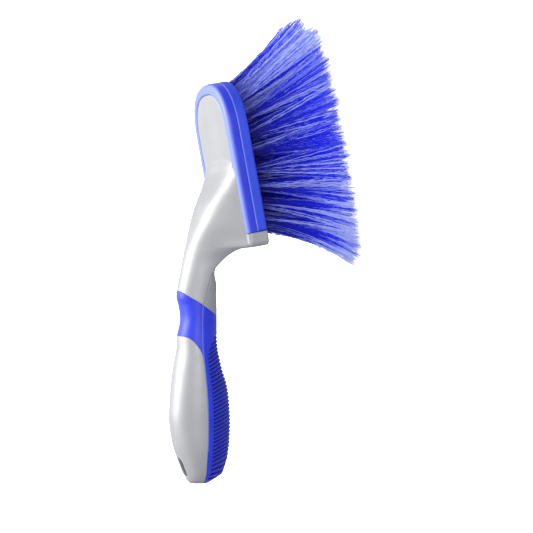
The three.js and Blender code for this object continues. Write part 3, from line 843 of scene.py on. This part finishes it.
def fanned_tips(root, place, disc, seeds, owner):
    """Tips of the filaments on the trimmed face, gathered into clumps."""
    size = TIP_SPREAD * (1 - NOSE_NARROW * place.nose, 1)
    tip = tip_of(root + disc * size + random.normal(0, 0.35, (FILAMENTS, 2)))
    gathered = tip_of(root + seeds[owner] * size)
    pull = random.uniform(*CLUMP_PULL, CLUMPS)[owner, None]
    tip = tip + (gathered - tip) * pull
    tip += random.normal(0, CLUMP_SHIFT, (CLUMPS, 2))[owner]
    stray = random.random(FILAMENTS) < STRAYS
    shift = random.normal(0, STRAY_SHIFT, (FILAMENTS, 2))
    tip += np.clip(shift, -STRAY_LIMIT, STRAY_LIMIT) * stray[:, None]
    tip[:, 1] = np.clip(tip[:, 1], -TIP_REACH, TIP_REACH)
    tip[:, 0] += (TAIL_SET * place.across - TAIL_REACH * (1 - place.across)) * place.tail
    tip[:, 0] -= (NOSE_SET * place.far + CROWN_SET * place.crown) * place.nose
    tip[:, 0] -= NOSE_DROP * place.flare
    tip[:, 1] *= 1 - NOSE_CLOSE * place.far * place.nose
    tip[:, 0] += SHOULDER_LEAN * place.shoulder
    return tip


def trimmed_share(place, reach, clump_reach):
    """How much of the way to the trimmed face each filament grows."""
    free = FREE_LENGTH - NOSE_TRIM * place.flare + SHOULDER_REACH * place.shoulder
    free += NOSE_REACH * place.nose * (1 - place.far)
    span = np.sqrt((reach ** 2).sum(1) + TRIM_DEPTH ** 2)
    share = np.minimum(1, free / span)
    share *= 1 + clump_reach - np.abs(random.normal(0, 0.02, FILAMENTS))
    thin = place.nose * (NEAR_THIN + FAR_THIN * place.far)
    wisps = random.random(FILAMENTS) < WISPS
    cut = thin * random.random(FILAMENTS) + FAR_SHORT * place.nose * place.far
    share *= 1 - cut * ~wisps
    return np.minimum(share, 1 - CLEARANCE / TRIM_DEPTH)


def filament_paths(opening, root, place, start, reach, share, owner):
    """Crimped paths from inside the hole to the tips."""
    t = np.linspace(0, 1, SEGMENTS + 1)
    curl = 0.35 * place.tail + 0.1 * place.nose
    bent = t * (1 - curl) + t * t * curl
    part, power = opening
    early = (1 - part) * bent + part * t ** power
    lean = tip_of(root) - root
    splay = reach - lean
    flat = start[:, None] + share[:, None, None] * (
        lean * bent[:, None] + splay[:, None] * early[:, None]
    )
    bow = random.normal(0, 0.9, (CLUMPS, 2))[owner] + random.normal(0, 0.5, (FILAMENTS, 2))
    flat += bow[:, None] * (t * (1 - t) * 1.8)[:, None]
    z = -HEAD_THICKNESS - (share * TRIM_DEPTH)[:, None] * t
    path = np.concatenate([flat, z[..., None]], 2)
    below = at_height(start, -HEAD_THICKNESS + HOLE_DEPTH - 1.0)
    path = np.concatenate([below[:, None], path], 1)
    plane = random.normal(0, 1, (FILAMENTS, 3))
    amount, wave, phase = (
        random.uniform(low, high, FILAMENTS) for low, high in ((0.16, 0.42), (8, 13), (0, 6.28))
    )
    return crimp(path, amount, wave, phase, plane), np.concatenate([[0.0], t])


def split_ends(path, tone):
    """Layers of short fine hairs that fan out from the filaments' ends."""
    base = path[:, SEGMENTS - 2]
    ahead = path[:, -1] - base
    steps = np.linspace(0, 1, FLAG_SEGMENTS + 1)
    layers = []
    for _ in range(SPLITS):
        loose = random.normal(0, 1, (FILAMENTS, 3)) * (1.3, 1.3, 0.5)
        length = random.uniform(0.75, 1.1, FILAMENTS)
        hair = base[:, None] + ahead[:, None] * (steps[:, None] * length[:, None, None])
        hair = hair + loose[:, None] * (steps ** 1.5)[:, None]
        layers.append((hair, np.interp(steps, *FLAG_TAPER), 0.88 + 0.12 * steps, tone[:, -1:]))
    return layers


def hair_mesh(name, layers):
    """One mesh of all layers, each given as (paths, radii, shares of the length, tones)."""
    points, quads, tips, marks, tones, uvs = [], [], [], [], [], []
    offset = 0
    for k, (line, radii, shares, tone) in enumerate(layers):
        line = line.copy()
        line[..., 2] = np.maximum(line[..., 2], -HEAD_THICKNESS - TRIM_DEPTH + CLEARANCE)
        hairs, rings = line.shape[:2]
        radii, shares = (np.broadcast_to(part, (hairs, rings)) for part in (radii, shares))
        corner, quad, end, mark, shade = strands(line, radii, shares, tone)
        points.append(corner)
        quads.append(quad + offset)
        tips.append(end + offset)
        marks.append(mark)
        tones.append(shade)
        u = (np.arange(hairs)[:, None, None] + np.array((0.1, 0.5, 0.9))) / hairs
        u = np.broadcast_to(u, (hairs, rings, 3))
        v = np.broadcast_to(shares[..., None], (hairs, rings, 3))
        uvs.append(np.stack([u, (k + 0.05 + 0.9 * v) / len(layers)], -1).reshape(-1, 2))
        offset += len(corner)
    faces = np.concatenate(quads).tolist() + np.concatenate(tips).tolist()
    mesh = bpy.data.meshes.new(name)
    mesh.from_pydata((np.concatenate(points) * MM + HEAD_ORIGIN).tolist(), [], faces)
    mark_points(mesh, "along", np.concatenate(marks))
    mark_points(mesh, "tone", np.concatenate(tones))
    set_uv(mesh, np.concatenate(uvs))
    mesh.shade_smooth()
    return mesh


def make_tuft(name, root, look):
    root = np.array(root)
    place = Place(root)
    disc = spiral_disc()
    start = root + disc * (TUFT_DIAMETER / 2 - 0.2)
    seeds = random.uniform(-1, 1, (CLUMPS * 2, 2))
    seeds = seeds[np.argsort(np.linalg.norm(seeds, axis=1))][:CLUMPS]
    owner = np.argmin(np.linalg.norm(disc[:, None] - seeds[None], axis=2), 1)
    clump_tone = random.random(CLUMPS)
    clump_reach = random.normal(0, 0.012, CLUMPS)
    reach = fanned_tips(root, place, disc, seeds, owner) - start
    share = trimmed_share(place, reach, clump_reach[owner])
    opening = OUTER_OPENING if name.startswith("outer") else INNER_OPENING
    path, along = filament_paths(opening, root, place, start, reach, share, owner)
    tone = 0.85 * clump_tone[owner] + 0.15 * random.random(FILAMENTS)
    # Painted light: paler nose tufts, most of all on the far side, and tail tips that pale towards their
    # ends.
    tone += place.nose * (NOSE_PALE + FAR_PALE * place.far)
    painted_tail_light = TAIL_PAINTED_PALE * place.tail * smooth(np.linspace(0, 1, len(along)), 0.45, 0.95)
    tone = np.clip(tone[:, None] + painted_tail_light, 0, 1)
    layers = [(path, np.interp(along, *TAPER), along, tone)] + split_ends(path, tone)
    return placed_piece(f"bristle_{name}", hair_mesh(name, layers), look, [name])


# ---------- materials ----------

# Colour of the painted highlights on lit edges and on the bumper's top.
PAINTED_HIGHLIGHT = (0.28, 0.36, 1.0, 1)


def new_look(name):
    look = bpy.data.materials.new(name)
    look.use_nodes = True
    tree = look.node_tree
    return look, tree, tree.nodes["Principled BSDF"]


def set_inputs(made, values):
    for key, value in values.items():
        made.inputs[key].default_value = value


def node(tree, kind, inputs=None, **settings):
    made = tree.nodes.new(kind)
    for key, value in settings.items():
        setattr(made, key, value)
    set_inputs(made, inputs or {})
    return made


def place_in_piece(tree):
    return node(tree, "ShaderNodeTexCoord").outputs["Object"]


def mark(tree, label):
    return node(tree, "ShaderNodeAttribute", attribute_name=label).outputs["Fac"]


def wire(tree, made, values):
    for key, value in values.items():
        tree.links.new(value, made.inputs[key])


def noise(tree, where, scale, detail=3.0, rough=0.5):
    made = node(tree, "ShaderNodeTexNoise", {"Scale": scale, "Detail": detail, "Roughness": rough})
    tree.links.new(where, made.inputs["Vector"])
    return made.outputs["Fac"]


def ramp(tree, value, stops):
    made = node(tree, "ShaderNodeValToRGB")
    band = made.color_ramp
    while len(band.elements) < len(stops):
        band.elements.new(0.5)
    for element, (place, colour) in zip(band.elements, stops):
        element.position = place
        element.color = (*colour, 1)
    tree.links.new(value, made.inputs["Fac"])
    return made.outputs["Color"]


def spread(tree, value, low, high, new_low, new_high):
    made = node(tree, "ShaderNodeMapRange", {
        "From Min": low, "From Max": high, "To Min": new_low, "To Max": new_high
    })
    tree.links.new(value, made.inputs["Value"])
    return made.outputs["Result"]


def mix(tree, share, first, second):
    made = node(tree, "ShaderNodeMix", data_type="RGBA")
    for key, value in ((0, share), (6, first), (7, second)):
        if hasattr(value, "links"):
            tree.links.new(value, made.inputs[key])
        else:
            made.inputs[key].default_value = value
    return made.outputs[2]


def bump(tree, shader, layers):
    """Stacks bumps, each given as (height output, strength, distance in mm)."""
    last = None
    for height, strength, distance in layers:
        made = node(tree, "ShaderNodeBump", {"Strength": strength, "Distance": distance * MM})
        tree.links.new(height, made.inputs["Height"])
        if last is not None:
            tree.links.new(last, made.inputs["Normal"])
        last = made.outputs["Normal"]
    tree.links.new(last, shader.inputs["Normal"])


def silver_look():
    look, tree, shader = new_look("pearl_silver_plastic")
    where = place_in_piece(tree)
    flakes = node(tree, "ShaderNodeTexVoronoi", {"Scale": 5200.0})
    tree.links.new(where, flakes.inputs["Vector"])
    flow = noise(tree, where, 38.0, 2.0)
    base = ramp(tree, flow, [(0.3, (0.385, 0.388, 0.4)), (0.7, (0.425, 0.428, 0.44))])
    glint = spread(tree, flakes.outputs["Color"], 0.0, 1.0, 0.0, 0.16)
    colour = mix(tree, glint, base, (0.80, 0.82, 0.87, 1))
    grain = noise(tree, where, 160.0, 4.0, 0.6)
    # Painted shade: the hanging hole's wall is darkened towards near-black grey.
    hollow = mark(tree, "hollow")
    colour = mix(tree, spread(tree, hollow, 0.0, 1.0, 0.0, 0.6), colour, (0.1, 0.1, 0.115, 1))
    wire(tree, shader, {"Base Color": colour, "Roughness": spread(tree, grain, 0.3, 0.7, 0.45, 0.55)})
    set_inputs(shader, {"Metallic": 0.3, "Coat Weight": 0.09, "Coat Roughness": 0.2})
    bump(tree, shader, [(flow, 0.12, 0.4)])
    return look


def rubber_look():
    look, tree, shader = new_look("soft_blue_rubber")
    where = place_in_piece(tree)
    cloud = noise(tree, where, 60.0, 3.0)
    grain = noise(tree, where, 3400.0, 2.0)
    pores = noise(tree, where, 900.0, 4.0, 0.65)
    base = ramp(tree, cloud, [(0.3, (0.014, 0.034, 0.70)), (0.7, (0.022, 0.048, 0.82))])
    dust = spread(tree, pores, 0.56, 0.75, 0.0, 0.12)
    colour = mix(tree, dust, base, (0.16, 0.2, 0.95, 1))
    # Painted highlight where the point value is below 0, and painted shade in the rib grooves and
    # hanging hole where it is above 0.
    hollow = mark(tree, "hollow")
    colour = mix(tree, spread(tree, hollow, -1.0, 0.0, 0.8, 0.0), colour, PAINTED_HIGHLIGHT)
    colour = mix(tree, spread(tree, hollow, 0.15, 0.9, 0.0, 0.93), colour, (0.001, 0.001, 0.10, 1))
    wire(tree, shader, {"Base Color": colour, "Roughness": spread(tree, pores, 0.3, 0.7, 0.38, 0.52)})
    set_inputs(shader, {"Specular IOR Level": 0.5, "Sheen Weight": 0.22, "Sheen Roughness": 0.4})
    bump(tree, shader, [(pores, 0.18, 0.05), (grain, 0.25, 0.02)])
    return look


def block_look():
    look, tree, shader = new_look("blue_block_plastic")
    where = place_in_piece(tree)
    cloud = noise(tree, where, 45.0, 3.0)
    marks = noise(tree, where, 700.0, 4.0, 0.6)
    base = ramp(tree, cloud, [(0.3, (0.026, 0.066, 0.76)), (0.7, (0.036, 0.088, 0.88))])
    scuff = spread(tree, marks, 0.58, 0.78, 0.0, 0.15)
    colour = mix(tree, scuff, base, (0.13, 0.2, 0.9, 1))
    # Painted highlight on the block's top edge.
    hollow = mark(tree, "hollow")
    colour = mix(tree, spread(tree, hollow, -1.0, 0.0, 0.8, 0.0), colour, PAINTED_HIGHLIGHT)
    wire(tree, shader, {"Base Color": colour, "Roughness": spread(tree, marks, 0.3, 0.7, 0.28, 0.42)})
    bump(tree, shader, [(cloud, 0.1, 0.4), (marks, 0.12, 0.04)])
    return look


def bristle_look():
    look, tree, shader = new_look("crimped_blue_bristle")
    along = mark(tree, "along")
    tone = mark(tree, "tone")
    where = place_in_piece(tree)
    streak = noise(tree, where, 420.0, 3.0)
    # Both colours darken towards the root: painted shade among the crowded filaments.
    deep = ramp(tree, along, [
        (0.0, (0.001, 0.001, 0.05)), (0.3, (0.006, 0.008, 0.62)),
        (0.8, (0.025, 0.035, 0.93)), (1.0, (0.10, 0.13, 0.96)),
    ])
    pale = ramp(tree, along, [
        (0.0, (0.03, 0.035, 0.55)), (0.22, (0.34, 0.40, 1.0)),
        (0.8, (0.50, 0.58, 1.0)), (1.0, (0.62, 0.70, 1.0)),
    ])
    share = spread(tree, tone, 0.6, 0.77, 0.0, 1.0)
    colour = mix(tree, share, deep, pale)
    dark = spread(tree, streak, 0.35, 0.7, 0.0, 0.25)
    colour = mix(tree, dark, colour, (0.01, 0.012, 0.45, 1))
    # Painted glow: a weak emission of the strand colour, rising away from the root, stands in for light
    # scattered through the translucent filaments.
    wire(tree, shader, {
        "Base Color": colour, "Emission Color": colour,
        "Emission Strength": spread(tree, along, 0.15, 0.7, 0.0, 0.19),
        "Roughness": spread(tree, streak, 0.3, 0.7, 0.28, 0.42),
    })
    shader.inputs["Specular IOR Level"].default_value = 0.25
    bump(tree, shader, [(streak, 0.1, 0.03)])
    return look


# ---------- pieces ----------

def make_rear_shell(look):
    skin = Skin()
    turn = turns(math.pi / 110)
    end_top = np.full(len(turn), END_TOP)
    end_patch(skin, turn, False, end_top, False, 0.9, lambda s: profile(SIDE, s))
    bottom = edge_line(THUMB_BOTTOM, turn, False, -SEAM)
    hand_patch(skin, turn, False, end_top, bottom, 0.7, ("high", "side"))
    neck_low = edge_line(THUMB_TOP, turn, False, SEAM)
    neck_high = np.full(len(turn), STATIONS[-1, 0])
    hand_patch(skin, turn, False, neck_low, neck_high, 0.6, ("low",), corner=True)
    under_low = np.full(len(turn), FRONT_SHELL_TOP + SEAM)
    hand_patch(skin, turn, True, under_low, neck_high, 0.5, ("low",), corner=True)
    core_patch(skin, False, 70.0, 122.0)
    tab_skin(skin)
    plate_skin(skin)
    return skin.build("rear_shell_visual", look, "silver_plastic", ["rear_shell"])


def make_front_shell(look):
    skin = Skin()
    turn = turns(math.pi / 110)
    low = edge_line(GRIP_TOP, turn, True, SEAM)
    high = np.full(len(turn), FRONT_SHELL_TOP)
    hand_patch(skin, turn, True, low, high, 0.6, ("low", "high", "side"))
    core_patch(skin, True, 2.0, 112.0)
    return skin.build("front_shell_visual", look, "silver_plastic", ["front_shell"])


def make_front_grip(look):
    skin = Skin()
    turn = turns(math.pi / 116)
    end_top = np.full(len(turn), END_TOP)
    end_patch(skin, turn, True, end_top, True, 0.7, lambda s: profile(SIDE, s))
    high = edge_line(GRIP_TOP, turn, True)
    hand_patch(skin, turn, True, end_top, high, 0.24, ("high", "side"), ribbed=True)
    return skin.build("front_grip_visual", look, "blue_rubber", ["front_grip"], sharp=60)


def make_thumb_rest(look):
    skin = Skin()
    turn = turns(math.pi / 110)
    low = edge_line(THUMB_BOTTOM, turn, False)
    high = edge_line(THUMB_TOP, turn, False)
    hand_patch(skin, turn, False, low, high, 0.5, ("low", "high", "side"))
    return skin.build("thumb_rest_visual", look, "blue_rubber", ["thumb_rest"])


silver, rubber, block, bristle = silver_look(), rubber_look(), block_look(), bristle_look()
roots = tuft_roots()
make_rear_shell(silver)
make_front_shell(silver)
make_front_grip(rubber)
make_thumb_rest(rubber)
bumper_skin().build("head_bumper_visual", rubber, "blue_rubber", ["head_bumper"])
block_skin(roots).build("tuft_block_visual", block, "blue_plastic", ["tuft_block"])
for tuft_name, tuft_root in roots.items():
    make_tuft(tuft_name, tuft_root, bristle)


# ---------- camera, floor and lights ----------

CAMERA_AZIMUTH = 2.52
CAMERA_ELEVATION = 19.83
CAMERA_ROLL = -101.14
CAMERA_DISTANCE = 1.0722
CAMERA_FIELD = 18.0
AIM_X = -119.98
AIM_Z = -20.3


def make_camera():
    azimuth, elevation, lean = map(math.radians, (CAMERA_AZIMUTH, CAMERA_ELEVATION, CAMERA_ROLL))
    back = Vector((
        math.sin(azimuth) * math.cos(elevation),
        -math.cos(azimuth) * math.cos(elevation),
        math.sin(elevation),
    ))
    level = (-back).cross(Vector((0, 0, 1))).normalized()
    upright = level.cross(-back)
    right = level * math.cos(lean) + upright * math.sin(lean)
    up = upright * math.cos(lean) - level * math.sin(lean)
    data = bpy.data.cameras.new("camera")
    data.sensor_fit = "HORIZONTAL"
    data.angle = math.radians(CAMERA_FIELD)
    data.clip_start, data.clip_end = 0.01, 50
    camera = bpy.data.objects.new("camera", data)
    aim = Vector(HEAD_ORIGIN + np.array((AIM_X, 0, AIM_Z)) * MM)
    place = aim + back * CAMERA_DISTANCE
    turned = Matrix((right, up, back)).transposed().to_4x4()
    camera.matrix_world = Matrix.Translation(place) @ turned
    bpy.context.scene.collection.objects.link(camera)
    bpy.context.scene.camera = camera


def make_floor():
    size, steps = 6.0, 24
    work = bmesh.new()
    bmesh.ops.create_grid(work, x_segments=steps, y_segments=steps, size=size)
    mesh = bpy.data.meshes.new("floor")
    work.to_mesh(mesh)
    work.free()
    look, tree, shader = new_look("pale_studio_floor")
    where = place_in_piece(tree)
    tree.links.new(
        ramp(tree, noise(tree, where, 3.0), [(0.3, (0.90, 0.90, 0.90)), (0.7, (0.92, 0.92, 0.92))]),
        shader.inputs["Base Color"],
    )
    set_inputs(shader, {"Roughness": 0.9, "Emission Color": (1, 1, 1, 1), "Emission Strength": 1.0})
    mesh.materials.append(look)
    floor = bpy.data.objects.new("floor", mesh)
    floor.location.z = -0.0005
    floor.visible_diffuse = False
    floor.visible_glossy = False
    bpy.context.scene.collection.objects.link(floor)


def soft_light(name, place, target, size, power):
    data = bpy.data.lights.new(name, "AREA")
    data.shape = "SQUARE"
    data.size = size
    data.energy = power
    light = bpy.data.objects.new(name, data)
    light.location = place
    light.rotation_mode = "QUATERNION"
    light.rotation_quaternion = (Vector(target) - Vector(place)).to_track_quat("-Z", "Y")
    bpy.context.scene.collection.objects.link(light)


def make_light():
    world = bpy.data.worlds.new("studio")
    world.use_nodes = True
    tree = world.node_tree
    sky = tree.nodes["Background"]
    where = node(tree, "ShaderNodeTexCoord").outputs["Generated"]
    split = node(tree, "ShaderNodeSeparateXYZ")
    tree.links.new(where, split.inputs["Vector"])
    height = spread(tree, split.outputs["Z"], -1.0, 1.0, 0.0, 1.0)
    tree.links.new(
        ramp(tree, height, [(0.25, (0.34, 0.345, 0.41)), (0.75, (0.56, 0.565, 0.575))]),
        sky.inputs["Color"],
    )
    sky.inputs["Strength"].default_value = 1.0
    bpy.context.scene.world = world
    soft_light("key", (0.5, 0.4, 1.2), (-0.02, 0, 0.06), 0.8, 21)
    soft_light("back", (-0.1, 1.3, 0.65), (0, 0, 0.08), 1.0, 1)
    soft_light("fill", (0.35, -1.4, 0.25), (0, 0, 0.06), 0.8, 10)


make_camera()
make_floor()
make_light()
bpy.context.scene.view_settings.view_transform = "Standard"
